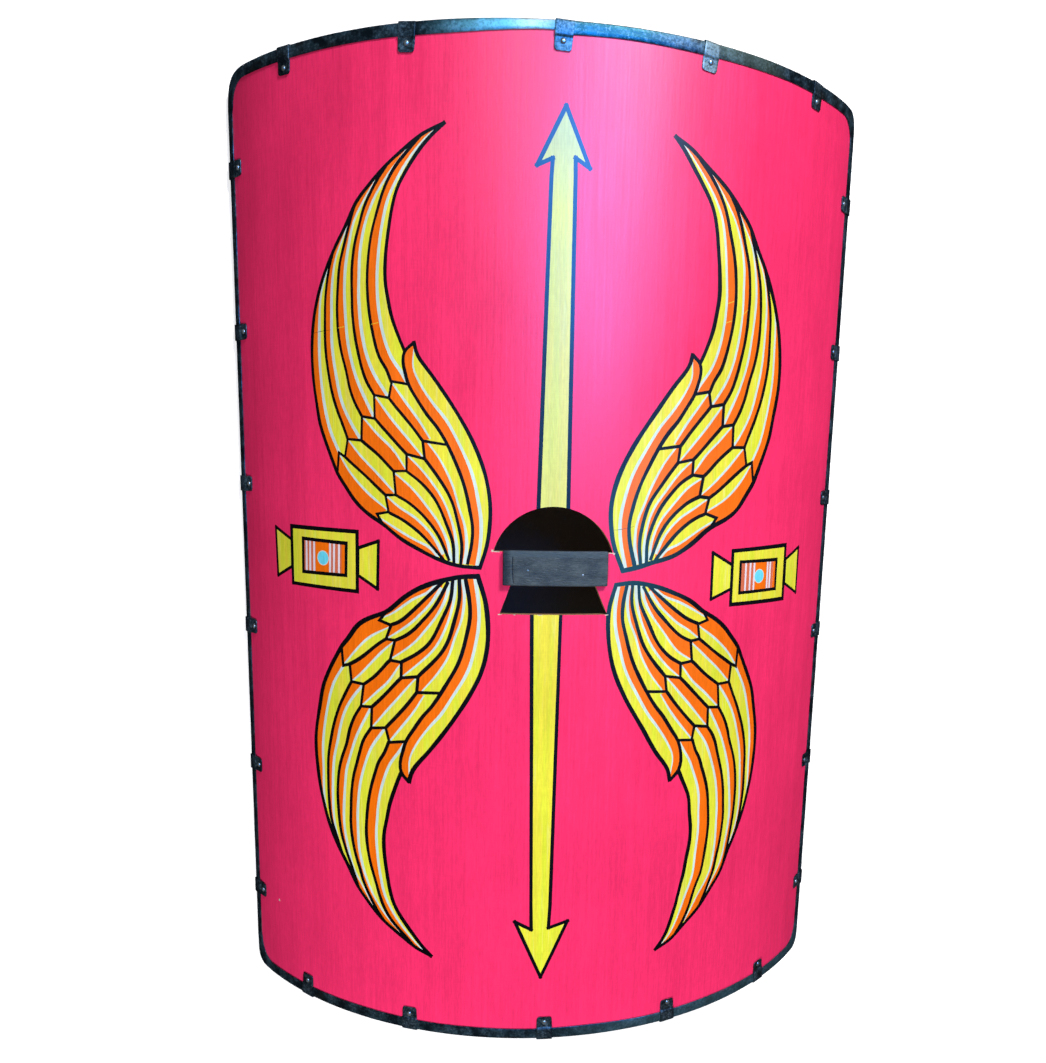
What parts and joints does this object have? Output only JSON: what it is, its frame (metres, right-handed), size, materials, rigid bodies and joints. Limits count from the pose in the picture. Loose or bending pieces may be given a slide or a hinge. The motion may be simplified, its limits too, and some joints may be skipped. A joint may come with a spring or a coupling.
{
  "type": "curved rectangular roman shield",
  "caption": "Curved rectangular Roman shield: painted plywood with winged ornament, steel-channel edge held by riveted clips, hand holes and a grip bar, its boss lost.",
  "frame": {"origin": "on the ground under the middle of the shield as it lies face up on its two long edges", "axes": "+Y up the shield to its top, +X to the right seen from the front, +Z out of the painted face"},
  "size_m": [0.7138, 1.0526, 0.1844],
  "materials": {
    "painted_board": "brushed gloss paint on plywood, red with yellow, orange, pale and black ornament",
    "edging_steel": "blued and darkened mild steel, patchy",
    "rivet_steel": "steel rivets worn bright on their heads",
    "leather": "dark slate leather, smooth, with pressed-through edges"
  },
  "bodies": {
    "root": {"shield_board": "painted_board", "rim_left": "edging_steel", "rim_right": "edging_steel", "grip": "leather", "grip_nail_left": "rivet_steel", "grip_nail_right": "rivet_steel", "clip_top_1": "edging_steel", "clip_top_2": "edging_steel", "clip_top_3": "edging_steel", "clip_top_4": "edging_steel", "clip_top_5": "edging_steel", "clip_bottom_1": "edging_steel", "clip_bottom_2": "edging_steel", "clip_bottom_3": "edging_steel", "clip_bottom_4": "edging_steel", "clip_bottom_5": "edging_steel", "clip_left_1": "edging_steel", "clip_left_2": "edging_steel", "clip_left_3": "edging_steel", "clip_left_4": "edging_steel", "clip_left_5": "edging_steel", "clip_left_6": "edging_steel", "clip_right_1": "edging_steel", "clip_right_2": "edging_steel", "clip_right_3": "edging_steel", "clip_right_4": "edging_steel", "clip_right_5": "edging_steel", "clip_right_6": "edging_steel", "rivet_top_1": "rivet_steel", "rivet_top_2": "rivet_steel", "rivet_top_3": "rivet_steel", "rivet_top_4": "rivet_steel", "rivet_top_5": "rivet_steel", "rivet_bottom_1": "rivet_steel", "rivet_bottom_2": "rivet_steel", "rivet_bottom_3": "rivet_steel", "rivet_bottom_4": "rivet_steel", "rivet_bottom_5": "rivet_steel", "rivet_left_1": "rivet_steel", "rivet_left_2": "rivet_steel", "rivet_left_3": "rivet_steel", "rivet_left_4": "rivet_steel", "rivet_left_5": "rivet_steel", "rivet_left_6": "rivet_steel", "rivet_right_1": "rivet_steel", "rivet_right_2": "rivet_steel", "rivet_right_3": "rivet_steel", "rivet_right_4": "rivet_steel", "rivet_right_5": "rivet_steel", "rivet_right_6": "rivet_steel"}
  },
  "joints": []
}
